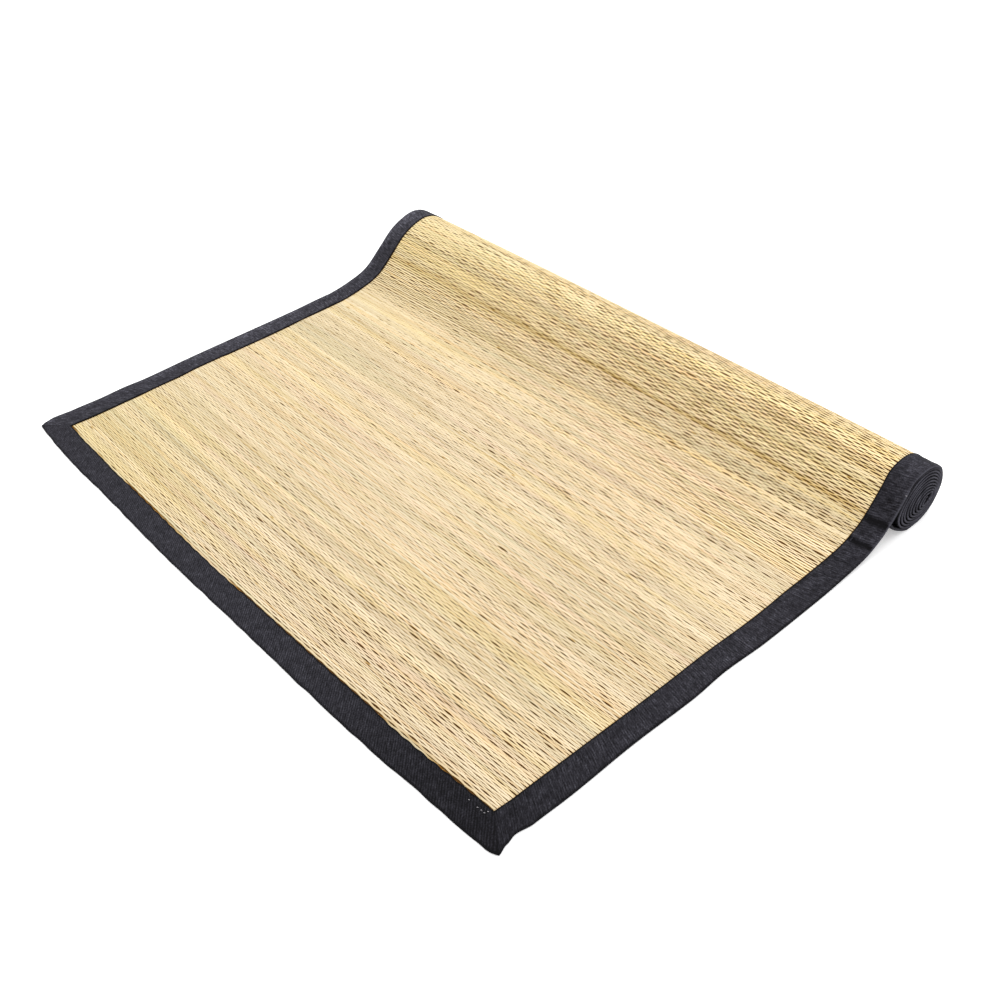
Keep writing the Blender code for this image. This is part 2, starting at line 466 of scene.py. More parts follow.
def roll_outline(rise, x):
    """The roll's closed outer line at x, from where the rising sheet touches it."""
    roll = row_points(ROLL_ROWS, x)
    along = roll[0] - rise[-2]
    along /= np.hypot(*along)
    nose = rise[-1] + PANEL_THICKNESS * np.array([along[1], -along[0]])
    over = np.concatenate([rise[-2:], roll[:FLOOR_ROW + 2]])
    under = np.concatenate([roll[FLOOR_ROW:], [nose, rise[-1]]])
    return np.concatenate([smooth_curve(over, CURVE_STEPS), smooth_curve(under, CURVE_STEPS)])


def turn_counts():
    """Turn counts of the line's points round the roll, from the touch to the core."""
    first = np.linspace(0, 1, FIRST_TURN_STEPS, endpoint=False)
    inner = np.linspace(1, TURNS, round((TURNS - 1) * TURN_STEPS))
    return np.concatenate([first, inner])


def closed_share(count):
    """How far the turns have closed in from the outline to the slot."""
    depth = np.clip((count - CLOSING_START) / (TURNS - CLOSING_START), 0, 1)
    return depth * step(count, CLOSING_IN, 1 - CLOSING_IN)


def turn_shift(turns):
    """How far along X each turn lies: the inner turns stand out at the right end of the roll."""
    uneven = TURN_UNEVEN * soft_noise(turns, 0.9, seed=51) * ease(turns - UNEVEN_START)
    return TURN_SHIFT * np.maximum(turns - 0.5, 0.0) + uneven


def fold_recess(turns):
    """How far the tapes' folds stand back over the top and the back of the roll's first turn."""
    return FIRST_RECESS * ease(turns * 2) * (1 - RECESS_LOST * step(turns, *RECESS_LOST_STEP))


def softened(turned, radius):
    """The outline's radius at even steps round it, with its corner smoothed away."""
    spots = np.linspace(0, 2 * math.pi, ROUND_STEPS, endpoint=False)
    sharp = np.fft.rfft(np.interp(spots, turned, radius))
    waves = np.fft.rfftfreq(ROUND_STEPS, 1 / ROUND_STEPS)
    soft = np.fft.irfft(sharp * np.exp(-((waves * CORNER_SOFTENING) ** 2) / 2), ROUND_STEPS)
    return spots, soft


def roll_line(rise, x):
    """The mat's outer face round the roll and on through its inner turns to the core."""
    outline = roll_outline(rise, x)
    crest_back, crest_height = crest(x)
    core = np.array([crest_back + CORE_BACK, crest_height * CORE_HEIGHT])
    reach = outline - core
    angle = np.unwrap(np.arctan2(reach[:, 1], reach[:, 0]))
    turned = np.maximum.accumulate(angle[0] - angle)
    radius = np.hypot(reach[:, 0], reach[:, 1])

    count = turn_counts()
    turn = 2 * math.pi * (count % 1.0)
    soft = np.interp(turn, *softened(turned, radius), period=2 * math.pi)
    outer = blend(np.interp(turn, turned, radius), soft, step(count, *SOFTENING_STEP))
    direction = angle[0] - turn
    lean = direction - SLOT_TILT
    slot = SLOT_LONG * SLOT_SHORT / np.hypot(SLOT_SHORT * np.cos(lean), SLOT_LONG * np.sin(lean))
    reach = outer - (outer - slot) * closed_share(count)
    return core + reach[:, None] * np.stack([np.cos(direction), np.sin(direction)], axis=1)


def mat_line(x, front, flat_steps):
    """The mat's outer face from its front edge to its end in the core, as back and height."""
    rise = row_points(RISE_ROWS, x)
    rise[:, 1] = np.maximum(rise[:, 1], PANEL_THICKNESS)
    before = [2 * rise[0, 0] - rise[1, 0], rise[0, 1]]
    first_roll = row_points(ROLL_ROWS, x)[:1]
    climb = smooth_curve(np.concatenate([[before], rise, first_roll]), RISE_STEPS)
    flat = np.linspace([front, PANEL_THICKNESS], climb[0], flat_steps, endpoint=False)
    return np.concatenate([flat, climb[:-1], roll_line(rise, x)])


def line_normals(lines):
    """Unit normals of lines, pointing out of the mat's upper face."""
    run = np.gradient(lines, axis=-2)
    run /= np.maximum(np.hypot(run[..., 0], run[..., 1]), 1e-9)[..., None]
    return np.stack([-run[..., 1], run[..., 0]], axis=-1)


def line_lengths(line):
    """Distance along a line at each of its points."""
    steps = np.linalg.norm(np.diff(line, axis=0), axis=1)
    return np.concatenate([[0.0], np.cumsum(steps)])


def beside_line(base, out, side, raised):
    """Back and height of points beside a line's points: on along the mat and out of its face."""
    back = base[..., 0] + side * out[..., 1] + raised * out[..., 0]
    return back, base[..., 1] - side * out[..., 0] + raised * out[..., 1]


# Meshes


def new_mesh(name, points, faces, cloth, material, values=None, maps=None):
    """A smooth shaded mesh object from arrays: points, quads, cloth UV, values and further UVs."""
    mesh = bpy.data.meshes.new(name)
    mesh.vertices.add(points[..., 0].size)
    mesh.vertices.foreach_set("co", points.astype(np.float32).ravel())
    corners = faces.ravel().astype(np.int32)
    mesh.loops.add(len(corners))
    mesh.loops.foreach_set("vertex_index", corners)
    mesh.polygons.add(len(faces))
    mesh.polygons.foreach_set("loop_start", np.arange(0, len(corners), 4, dtype=np.int32))
    mesh.update(calc_edges=True)
    mesh.shade_smooth()
    for map_name, flat in {"cloth": cloth, **(maps or {})}.items():
        layer = mesh.uv_layers.new(name=map_name)
        spots = flat.reshape(-1, 2)[corners]
        layer.uv.foreach_set("vector", spots.astype(np.float32).ravel())
    for value_name, numbers in (values or {}).items():
        attribute = mesh.attributes.new(value_name, "FLOAT", "POINT")
        spread = np.broadcast_to(numbers, points.shape[:-1])
        attribute.data.foreach_set("value", spread.astype(np.float32).ravel())
    mesh.validate()
    mesh.materials.append(material)
    piece = bpy.data.objects.new(name, mesh)
    bpy.context.scene.collection.objects.link(piece)
    return piece


def grid_faces(rows, columns, copies=1, closed=False):
    """Quads of grids of points, each rows by columns, with the columns closed into rings or not."""
    last = columns if closed else columns - 1
    row, column = np.meshgrid(np.arange(rows - 1), np.arange(last), indexing="ij")
    start = row * columns
    following = (column + 1) % columns
    corners = (start + column, start + columns + column, start + columns + following, start + following)
    quads = np.stack(corners, axis=-1).reshape(-1, 4)
    starts = np.arange(copies) * rows * columns
    return (starts[:, None, None] + quads[None]).reshape(-1, 4)


def to_frame(x, back, height):
    """Points of the row frame from x, back and height."""
    x, back, height = np.broadcast_arrays(x, back, height)
    return np.stack([x, back - ORIGIN_BACK, np.maximum(height, FLOOR_CLEAR)], axis=-1)


# Materials


def srgb(red, green, blue):
    """A colour as seen, 0 to 255, as the linear colour that a shader takes."""
    seen = np.array([red, green, blue]) / 255
    linear = np.where(seen <= 0.04045, seen / 12.92, ((seen + 0.055) / 1.055) ** 2.4)
    return (*linear, 1.0)


class Nodes:
    """Short calls for the nodes of one material."""

    def __init__(self, name, roughness, sheen=0.0):
        self.material = bpy.data.materials.new(name)
        self.material.use_nodes = True
        self.tree = self.material.node_tree
        self.shader = self.tree.nodes["Principled BSDF"]
        self.shader.inputs["Roughness"].default_value = roughness
        self.shader.inputs["Sheen Weight"].default_value = sheen

    def put(self, value, socket):
        """Link a socket's value, or set a number or colour."""
        if isinstance(value, bpy.types.NodeSocket):
            self.tree.links.new(value, socket)
        else:
            socket.default_value = value

    def add(self, kind, values=(), **settings):
        """A new node with its settings and its inputs by name or place."""
        node = self.tree.nodes.new(kind)
        for name, setting in settings.items():
            setattr(node, name, setting)
        for socket, value in dict(values).items():
            self.put(value, node.inputs[socket])
        return node

    def calculate(self, operation, first, second=0.0, third=0.0, clamp=False):
        """A Math node's result."""
        values = {0: first, 1: second, 2: third}
        return self.add("ShaderNodeMath", values, operation=operation, use_clamp=clamp).outputs[0]

    def times(self, first, second):
        """One value times another."""
        return self.calculate("MULTIPLY", first, second)

    def scaled(self, value, factor, start=0.0, clamp=False):
        """A value times a factor, on top of a start."""
        return self.calculate("MULTIPLY_ADD", value, factor, start, clamp)

    def plus(self, *parts):
        """All the parts together."""
        total = parts[0]
        for part in parts[1:]:
            total = self.calculate("ADD", total, part)
        return total

    def vector(self, x, y, z=0.0):
        """A vector from three values."""
        return self.add("ShaderNodeCombineXYZ", {0: x, 1: y, 2: z}).outputs[0]

    def noise(self, first, second, first_scale, second_scale, layer=0.0, detail=2.0, roughness=0.5):
        """Noise from 0 to 1 over two values with a scale each, in a layer of its own."""
        place = self.vector(self.times(first, first_scale), self.times(second, second_scale), layer)
        values = {"Vector": place, "Scale": 1.0, "Detail": detail, "Roughness": roughness}
        return self.add("ShaderNodeTexNoise", values).outputs[0]

    def between(self, value, low, high):
        """0 below low, 1 above high, and a soft step between."""
        values = {"Value": value, "From Min": low, "From Max": high}
        return self.add("ShaderNodeMapRange", values, interpolation_type="SMOOTHSTEP").outputs[0]

    def mix(self, share, first, second, blend_type="MIX"):
        """A mix of two colours."""
        node = self.add("ShaderNodeMix", data_type="RGBA", blend_type=blend_type)
        self.put(share, node.inputs[0])
        self.put(first, node.inputs[6])
        self.put(second, node.inputs[7])
        return node.outputs[2]

    def tinted(self, colour, tint, most, value, low, high):
        """A colour that takes up to a share of a tint as a value goes from low to high."""
        return self.mix(self.times(self.between(value, low, high), most), colour, tint)

    def ramp(self, value, *stops):
        """A colour ramp, with stops as place and colour."""
        node = self.add("ShaderNodeValToRGB", {0: value})
        band = node.color_ramp
        while len(band.elements) < len(stops):
            band.elements.new(0.5)
        for element, (place, colour) in zip(band.elements, stops):
            element.position = place
            element.color = colour
        return node.outputs[0]

    def value(self, name):
        """A value that the mesh holds under a name."""
        return self.add("ShaderNodeAttribute", attribute_name=name).outputs["Fac"]

    def cloth(self):
        """The two metre coordinates of the cloth."""
        uv = self.add("ShaderNodeUVMap", uv_map="cloth").outputs[0]
        split = self.add("ShaderNodeSeparateXYZ", {0: uv})
        return split.outputs[0], split.outputs[1]

    def finish(self, colour, height=None, distance=0.0002, strength=1.0, roughness=None):
        """Feed the shader its colour, bump and roughness."""
        self.put(colour, self.shader.inputs["Base Color"])
        if roughness is not None:
            self.put(roughness, self.shader.inputs["Roughness"])
        if height is not None:
            values = {"Height": height, "Distance": distance, "Strength": strength}
            bump = self.add("ShaderNodeBump", values)
            self.put(bump.outputs[0], self.shader.inputs["Normal"])
        return self.material


def reed_colour(n, x, along, own, band):
    """Straw in streaks along each reed, in patches of other hues."""
    long_streak = n.noise(x, own, 3.5, 470.0, detail=3.0)
    short_streak = n.noise(x, own, 22.0, 1330.0)
    tone = n.plus(
        n.scaled(long_streak, 0.18, 0.04),
        n.scaled(short_streak, 0.32, 0.05),
        n.scaled(band, 0.10, 0.07),
        n.scaled(own, 0.12, 0.02),
    )
    colour = n.ramp(
        tone,
        (0.10, srgb(150, 112, 70)),
        (0.32, srgb(200, 174, 128)),
        (0.52, srgb(226, 208, 172)),
        (0.70, srgb(237, 220, 191)),
        (0.94, srgb(249, 237, 211)),
    )
    orange = n.noise(x, own, 2.5, 910.0, 9.0)
    colour = n.tinted(colour, srgb(226, 181, 110), 0.38, orange, 0.54, 0.72)
    pink = n.noise(x, along, 3.0, 70.0, 13.0)
    colour = n.tinted(colour, srgb(232, 200, 178), 0.32, pink, 0.54, 0.68)
    yellow = n.noise(x, along, 2.0, 60.0, 23.0)
    colour = n.tinted(colour, srgb(232, 206, 124), 0.28, yellow, 0.50, 0.66)
    green = n.noise(x, along, 1.6, 100.0, 17.0, detail=3.0)
    colour = n.tinted(colour, srgb(196, 192, 156), 0.32, green, 0.54, 0.68)
    rolled = n.between(along, 0.38, 0.50)
    leftwards = n.between(x, -0.02, -0.30)
    frontwards = n.scaled(n.between(along, 0.17, 0.04), 0.16, 0.12)
    warmer = n.plus(n.times(rolled, 0.24), n.times(leftwards, frontwards))
    return n.mix(warmer, colour, srgb(210, 193, 108))


def reed_painted_shade_and_marks(n, x, along, own, fine):
    """How dark the reeds are: painted shade at slits and beside the tapes, the brown line and specks.
    """
    gap_shade_strength = n.between(n.noise(x, own, 70.0, 2310.0, 5.0), 0.36, 0.62)
    start, end = BROWN_LINE
    brown = n.between(along, start, start + BROWN_SOFTNESS)
    brown = n.times(brown, n.between(along, end, end - BROWN_SOFTNESS))
    marks = n.noise(x, own, 46.0, 1730.0, 2.0)
    return n.plus(
        n.times(n.value("reed_painted_gap_shade"), n.scaled(gap_shade_strength, 0.30, 1.00)),
        n.times(brown, n.scaled(own, 0.22, 0.02)),
        n.times(n.value("reed_painted_slit_shade"), 0.08),
        n.times(n.between(fine, 0.57, 0.72), 0.22),
        n.times(n.between(marks, 0.68, 0.80), 0.40),
        # Painted shadow along the tapes' inner edges, fading out within a millimetre
        n.scaled(n.between(n.value("reed_inside"), 0.0, 1.0), -0.95, 0.95),
    )


def reed_material():
    """Split grass reeds: straw and other hues, fine lines, and slits darkened by painted shade, without
    gloss.
    """
    n = Nodes("grass_reeds", 0.55)
    x, along = n.cloth()
    own = n.value("reed_random")
    band = n.noise(x, along, 1.1, 75.0, 4.0, detail=3.0)
    fine = n.noise(x, along, 14.0, 820.0, 31.0, detail=3.0)
    colour = reed_colour(n, x, along, own, band)
    colour = n.tinted(colour, srgb(249, 235, 204), 0.32, fine, 0.46, 0.34)
    fibre = n.noise(x, along, 55.0, 3600.0)
    line = n.noise(x, along, 6.0, 700.0, 41.0, detail=1.0)
    lines = n.times(n.between(line, 0.28, 0.72), 0.17)
    bands = n.scaled(n.between(band, 0.30, 0.70), 0.15, -0.075)
    shade = n.plus(n.scaled(fibre, 0.24, 0.766), lines, bands)
    # Painted light and shade of the broad stretches
    shade = n.times(shade, n.value("reed_painted_light"))
    colour = n.mix(1.0, colour, n.vector(shade, shade, shade), "MULTIPLY")
    # Painted shade at the slits and beside the tapes, with the brown line and specks, tints the straw
    # towards dark brown
    dark = reed_painted_shade_and_marks(n, x, along, own, fine)
    tint = n.ramp(
        dark,
        (0.00, (1.0, 1.0, 1.0, 1.0)),
        (0.30, (0.78, 0.65, 0.42, 1.0)),
        (0.65, (0.35, 0.20, 0.06, 1.0)),
        (1.00, (0.14, 0.07, 0.02, 1.0)),
    )
    colour = n.mix(1.0, colour, tint, "MULTIPLY")
    gloss = n.scaled(dark, -1.6, 1.0, clamp=True)
    n.put(n.times(gloss, 0.42), n.shader.inputs["Specular IOR Level"])
    n.put(n.times(gloss, 0.22), n.shader.inputs["Sheen Weight"])
    return n.finish(colour, fibre, strength=0.5, roughness=n.scaled(fibre, 0.3, 0.42))


def under_reed_material():
    """The mat's underside: duller reeds with the same streaks."""
    n = Nodes("grass_underside", 0.7)
    x, along = n.cloth()
    streak = n.noise(x, n.value("reed_random"), 7.0, 470.0, detail=3.0)
    colour = n.ramp(
        streak,
        (0.25, srgb(140, 112, 70)),
        (0.50, srgb(190, 162, 112)),
        (0.75, srgb(216, 192, 142)),
    )
    # Painted shade darkens the gaps between the reeds
    colour = n.mix(n.times(n.value("reed_painted_gap_shade"), 0.6), colour, srgb(64, 44, 24))
    return n.finish(colour, n.noise(x, along, 55.0, 3600.0), strength=0.5)


def core_shade_material():
    """Dark brown painted shade for the inside of the weave, seen between the reeds."""
    n = Nodes("grass_inside_painted_shade", 0.9)
    n.shader.inputs["Specular IOR Level"].default_value = 0.1
    x, along = n.cloth()
    grain = n.noise(x, along, 90.0, 1500.0)
    colour = n.ramp(grain, (0.3, srgb(78, 52, 24)), (0.7, srgb(124, 88, 46)))
    return n.finish(colour, grain, 0.0003, 0.6)


def thread_material(name, dark, light, twist=0.0005, grain=300.0, bump=0.5, roughness=0.7, sheen=0.15):
    """A thread with its twist, mottled between two colours."""
    n = Nodes(name, roughness, sheen)
    x, along = n.cloth()
    turns = n.calculate("SINE", n.times(n.plus(x, along), 2 * math.pi / twist))
    colour = n.ramp(n.noise(x, along, grain, grain), (0.3, dark), (0.7, light))
    return n.finish(colour, turns, twist / 10, bump)


def warp_material():
    """Natural cotton warp thread."""
    colours = (srgb(186, 158, 112), srgb(222, 198, 154))
    return thread_material("cotton_warp", *colours, 0.0006, 60.0, 0.6, 0.85, 0.2)


def tape_material(name, wales, pitch, wale_share, mottle, light, layer):
    """Near black cotton twill: slanting wales, broken streaks along them, wear, and painted light and
    shade that blackens its lips.
    """
    n = Nodes(name, 0.9)
    n.shader.inputs["Specular IOR Level"].default_value = 0.12
    over, along = n.cloth()
    across_wales = n.scaled(over, math.cos(wales), n.times(along, -math.sin(wales)))
    along_wales = n.scaled(over, math.sin(wales), n.times(along, math.cos(wales)))
    drift = n.noise(over, along, 90.0, 90.0, layer)
    turn = n.scaled(across_wales, 2 * math.pi / pitch, n.times(drift, 3.0))
    twill = n.scaled(n.calculate("SINE", turn), 0.5, 0.5)
    streak = n.noise(across_wales, along_wales, 520.0, 150.0, layer + 7.0, detail=3.0)
    fleck = n.noise(over, along, 800.0, 800.0, layer, roughness=0.65)
    patch = n.noise(over, along, 110.0, 70.0, layer + 3.0)
    texture = n.plus(
        n.scaled(twill, wale_share, -wale_share / 2),
        n.scaled(streak, mottle, -mottle / 2),
        n.scaled(n.between(fleck, 0.34, 0.66), 0.34, -0.17),
        n.scaled(patch, 0.40 * mottle, -0.20 * mottle),
    )
    shown = n.scaled(n.value("smooth"), -0.75, 1.0)
    # Painted light and shade from the mesh: broad stretches, crease shading, fold shade and highlight,
    # on the tape's light level; the paler fold round the roll is wear as well
    tone = n.plus(n.scaled(n.times(texture, shown), 1.0, light), n.value("wear_and_painted_light"))
    colour = n.ramp(
        tone,
        (0.00, srgb(12, 11, 14)),
        (0.30, srgb(31, 30, 35)),
        (0.55, srgb(48, 47, 53)),
        (0.80, srgb(72, 71, 79)),
        (1.00, srgb(106, 105, 115)),
    )
    # Painted shade: black along the lips and over the inner turns; the mitre seam is darker too
    colour = n.mix(n.value("dark"), colour, srgb(5, 5, 6))
    height = n.plus(n.times(twill, 0.7), n.times(streak, 0.9), n.times(fleck, 0.4))
    return n.finish(colour, n.times(height, shown), 0.00022, 0.8)


def floor_material():
    """Plain pale paper, lit through so that the mat's shadow stays faint."""
    n = Nodes("studio_floor", 0.9)
    n.shader.inputs["Emission Color"].default_value = (1.0, 1.0, 1.0, 1.0)
    n.shader.inputs["Emission Strength"].default_value = FLOOR_GLOW
    return n.finish(srgb(251, 251, 251))


# The grass


def panel_line(x):
    """The mat's line at x, from under the front tape to the core."""
    return mat_line(x, BINDING_WIDTH - front_bow(x) - TUCK, PANEL_STEPS)


def panel_lines(stations):
    """The mat's line and its normals at each x, and the distances along it in the middle."""
    lines = np.array([panel_line(x) for x in stations])
    return lines, line_normals(lines), line_lengths(panel_line(0.0))


def at_lengths(values, lengths, wanted):
    """Values along the lines at wanted distances: one row a distance, one column a station."""
    place = np.interp(wanted, lengths, np.arange(len(lengths)))
    low = np.minimum(place.astype(int), len(lengths) - 2)
    share = (place - low)[:, None, None]
    picked = values.transpose(1, 0, 2)
    return picked[low] * (1 - share) + picked[low + 1] * share


def reed_places(length):
    """Middles and widths of the reeds side by side along the mat."""
    count = int(length / REED_PITCH)
    widths = REED_PITCH * np.clip(random.normal(1.0, REED_UNEVEN, count), 0.6, 1.5)
    ends = np.cumsum(widths)
    keep = ends < length
    return (ends - widths / 2)[keep], widths[keep]


def warp_columns():
    """Stations across the mat where the reeds bend, and which of them lie on a warp."""
    reach = WIDTH / 2 - BINDING_WIDTH + TUCK
    last = int(reach / WARP_PITCH * REED_STEPS)
    steps = np.arange(-last, last + 1)
    stations = np.concatenate([[-reach], steps * WARP_PITCH / REED_STEPS, [reach]])
    on_warp = np.concatenate([[False], steps % REED_STEPS == 0, [False]])
    return stations, on_warp


def gap_strength(x, places):
    """How open the slits are: more to the right, on the roll and in front, less in the calm middle."""
    rightwards = ease(across(x) / GAP_SIDES_REACH)
    strength = blend(*GAP_SIDES, rightwards)
    strength = strength + blend(*GAP_ROLLED_SIDES, rightwards) * step(places, *GAP_ROLLED_STEP)
    strength = strength + GAP_FRONT * rightwards * step(places, *GAP_FRONT_STEP)
    return strength * (1 - CALM * swelling(x, *CALM_ACROSS) * swelling(places, *CALM_ALONG))


def grass_painted_light(x, places):
    """How much painted light and shade the broad stretches give the grass at x and at distances from
    the front.
    """
    share = np.clip(across(x), 0.0, 1.0)
    places = np.minimum(places, GRASS_PAINTED_SHADE_BACK)
    light = np.ones(np.broadcast(x, places).shape)
    for middle, reach, left, right in GRASS_PAINTED_TONES:
        light = light + blend(left, right, share) * swelling(places, middle, reach)
    return light


def weave(stations, places):
    """How the reeds lie at each station: height, shift, width, and the slits before and after.

    Each warp parts every other pair of reeds, and the next warp the pairs between, so that slits
    open in a staggered pattern. Some slits last from one warp to the next.
    """
    most = math.ceil(stations[-1] / WARP_PITCH)
    warps = np.arange(-most, most + 1)
    gaps = np.arange(len(places) + 1)[:, None]
    opens = (gaps + warps[None]) % 2 == 1
    off = np.abs(stations[None] / WARP_PITCH - warps[:, None])
    near = 0.5 + 0.5 * np.cos(math.pi * np.clip(off, 0, 1))
    slits = opens * np.exp(GAP_UNEVEN * random.standard_normal(opens.shape))
    x, back = stations[None], np.append(places, places[-1])[:, None]
    runs = GAP_RUNS * soft_field(x, back, 0.60, 0.0045, seed=35)
    patches = GAP_PATCHES * soft_field(x, back, 0.50, 0.020, seed=32)
    strength = gap_strength(x, back) * np.exp(runs + patches)
    paired = (1 - 2 * (gaps % 2)) * soft_field(x, back, 0.50, 0.020, seed=36)
    lasting = np.clip(0.5 + GAP_PAIRING * paired, 0, 1)
    crossing = slits @ near ** GAP_LENGTHENED
    opened = (GAP_CROSSING * crossing + GAP_LASTING * lasting) * strength
    opened = np.clip(opened, 0, GAP_MOST)
    before, after = opened[:-1], opened[1:]
    return {
        "lift": -WAVE_HEIGHT * (opens[1:] @ near),
        "shift": GAP_OPENING / 2 * (before - after),
        "wide": 1 - GAP_NARROWS * (before + after),
        "before": before,
        "after": after,
        "under": opens[1:],
    }


def inside_tape(x, back):
    """How far points of the grass lie inside the tapes' edges, below 0 where a tape covers them."""
    beside = np.minimum(lip_x(back, 1) - x, x - lip_x(back, -1))
    return np.minimum(beside, back - front_lip(x))


def reed_strands(length, stations, lines, normals, lengths):
    """All that the reeds' strips need, by name, with a row for each reed."""
    places, widths = reed_places(length)
    base = at_lengths(lines, lengths, places)
    wander = WARP_WANDER * soft_noise(places[:, None] + 0.3 * stations[None], 0.11, seed=31)
    wander[:, [0, -1]] = 0.0
    x = stations[None] + wander
    inside = inside_tape(x, base[..., 0])
    strands = weave(stations, places)
    strands["lift"] = strands["lift"] - PRESS * (1 - step(inside, *PRESS_STEP))
    own = random.uniform(0, 1, len(places))
    slip = np.zeros(x.shape)
    for scale in (0.03, 0.08, 0.21):
        turn = random.uniform(0, 1, (len(places), 1))
        slip += np.sin(2 * math.pi * (stations[None] / scale + turn))
    return {
        **strands,
        "places": places,
        "widths": widths,
        "base": base,
        "out": at_lengths(normals, lengths, places),
        "x": x,
        "inside": inside,
        "light": grass_painted_light(x, places[:, None]),
        "own": own,
        "slip": slip * REED_SLIP,
    }


def strip_points(reeds, profile, face):
    """Points of the reeds' strips on one face of the mat, and their cloth coordinates."""
    wide = reeds["widths"][:, None] * (reeds["wide"] if face > 0 else 1.0)
    points, cloth = [], []
    for share, height in profile:
        side = reeds["slip"] + reeds["shift"] + share * wide
        raised = face_lift(face, height, reeds["lift"])
        points.append(to_frame(reeds["x"], *beside_line(reeds["base"], reeds["out"], side, raised)))
        cloth.append(np.stack([reeds["x"], reeds["places"][:, None] + side], axis=-1))
    return np.stack(points, axis=2), np.stack(cloth, axis=2)


def face_lift(face, height, lift):
    """Height over the mat's upper line of a reed's point on its upper or lower face."""
    if face > 0:
        return lift - UPPER_DROP - (1 - height) * REED_HEIGHT
    return LOWER_RISE - PANEL_THICKNESS + LOWER_WAVE * lift + (1 - height) * REED_HEIGHT


def reed_piece(name, reeds, profile, face, material):
    """One joined mesh of reeds side by side."""
    points, cloth = strip_points(reeds, profile, face)
    count, stations, columns = points.shape[:3]
    share, height = np.array(profile).T
    before, after = reeds["before"][:, :, None], reeds["after"][:, :, None]
    values = {
        "reed_random": reeds["own"][:, None, None],
        "reed_painted_gap_shade": (1 - height) * (GAP_SHADE + np.where(share < 0, before, after)),
        "reed_painted_slit_shade": (before + after) / 2,
        "reed_inside": reeds["inside"][:, :, None] * MILLIMETRES,
        "reed_painted_light": reeds["light"][:, :, None],
    }
    row = (np.arange(count)[:, None, None] + np.linspace(0.06, 0.94, columns)) / count
    column = np.linspace(0.002, 0.998, stations)[None, :, None]
    bake = np.stack(np.broadcast_arrays(column, row), axis=-1)
    faces = grid_faces(stations, columns, count)
    return new_mesh(name, points, faces, cloth, material, values, {"OFBake": bake})


def warp_piece(strands, on_warp, material):
    """The warps' visible bits: a short arch of thread over each reed that lies low."""
    columns = np.nonzero(on_warp)[0]
    spare = (strands["under"].shape[1] - len(columns)) // 2
    reed, warp = np.nonzero(strands["under"][:, spare:spare + len(columns)])
    names = ("x", "base", "out", "lift", "slip", "shift")
    x, base, out, lift, slip, shift = (strands[name][reed, columns[warp]] for name in names)
    points = []
    for length_share, drop in ((-0.6, WARP_DROP), (0.0, 0.0), (0.6, WARP_DROP)):
        for side_share in (-1, 1):
            side = slip + shift + length_share * strands["widths"][reed]
            raised = lift - UPPER_DROP + 1.1 * WARP_RADIUS - drop
            back, up = beside_line(base, out, side, raised)
            points.append(to_frame(x + side_share * WARP_RADIUS, back, up))
    points = np.stack(points, axis=1)
    along = strands["places"][reed][:, None] + points[..., 1]
    cloth = np.stack(np.broadcast_arrays(x[:, None], along), axis=-1)
    return new_mesh("warp_threads", points, grid_faces(3, 2, len(reed))[:, ::-1], cloth, material)


def core_sheet(material):
    """The mat's body from end to end, wound up with all its turns: what the reeds lie on, dark with
    painted shade.
    """
    reach = WIDTH / 2 - CORE_INSET
    stations = np.linspace(-reach, reach, CORE_STATIONS)
    lines, normals, lengths = panel_lines(stations)
    turns = np.concatenate([np.zeros(len(lengths) - len(turn_counts())), turn_counts()])
    x = stations[:, None] + turn_shift(turns)[None]
    upper, lower = (to_frame(x, *beside_line(lines, normals, 0.0, lift)) for lift in CORE_FACES)
    ring = np.concatenate([upper, lower[:, ::-1]], axis=1)
    count = len(lengths)
    cloth_line = np.concatenate([lengths, lengths[::-1]])
    cloth = np.stack(np.broadcast_arrays(stations[:, None], cloth_line[None]), axis=-1)
    faces = [grid_faces(CORE_STATIONS, 2 * count, closed=True)]
    for row, flip in ((0, 1), (CORE_STATIONS - 1, -1)):
        near = row * 2 * count + np.arange(count)
        far = row * 2 * count + 2 * count - 1 - np.arange(count)
        quads = np.stack([near[:-1], near[1:], far[1:], far[:-1]], axis=1)
        faces.append(quads[:, ::flip])
    return new_mesh("grass_core", ring, np.concatenate(faces), cloth, material)


# The tape


def tape_profile(top, bottom):
    """The folded tape's section: how far in from the outer fold, and height.

    It runs from the turned in edge under the upper lip, round the lip, over the top, round the
    outer fold, back along the underside and in under the lower lip.
    """
    width = BINDING_WIDTH
    half = (top - bottom) / 2
    points = [(width - TURN_IN, top - LIP)]
    points += [(width + inward, top - drop * LIP) for inward, drop in LIP_SECTION]
    points += [(place, top) for place in TOP_PLACES]
    for turn in np.linspace(0, math.pi, 7)[1:-1]:
        points.append((FOLD_REACH * (1 - math.sin(turn)), bottom + half * (1 + math.cos(turn))))
    points += [(place, bottom) for place in (*UNDER_PLACES, width - 0.0008)]
    points += [(width, bottom + 0.5 * LIP), (width - 0.0012, bottom + LIP)]
    return np.array([*points, (width - TURN_IN, bottom + LIP)])


def top_mask(profile):
    """1 on the tape's upper face and 0 on its fold, lips and underside."""
    return (profile[:, 1] >= profile[:, 1].max() - 1e-6).astype(float)


def lip_painted_shade(profile):
    """Painted shade at each place of the tape's section: black along the upper lip."""
    upper = profile[:, 1] > profile[:, 1].mean()
    return LIP_PAINTED_SHADE_LEVEL * upper * step(profile[:, 0] - BINDING_WIDTH, *EDGE_STEP)


def seam_dark(inward):
    """How dark the mitre's seam is, more towards the tip."""
    return SEAM_DARK + SEAM_DARKER * np.clip(1 - inward / BINDING_WIDTH, 0, 1)


def sag(inward):
    """How far the tape's upper face sags, as a share of the most: 0 at both edges."""
    return np.sin(math.pi * np.clip(1 - inward / BINDING_WIDTH, 0, 1))


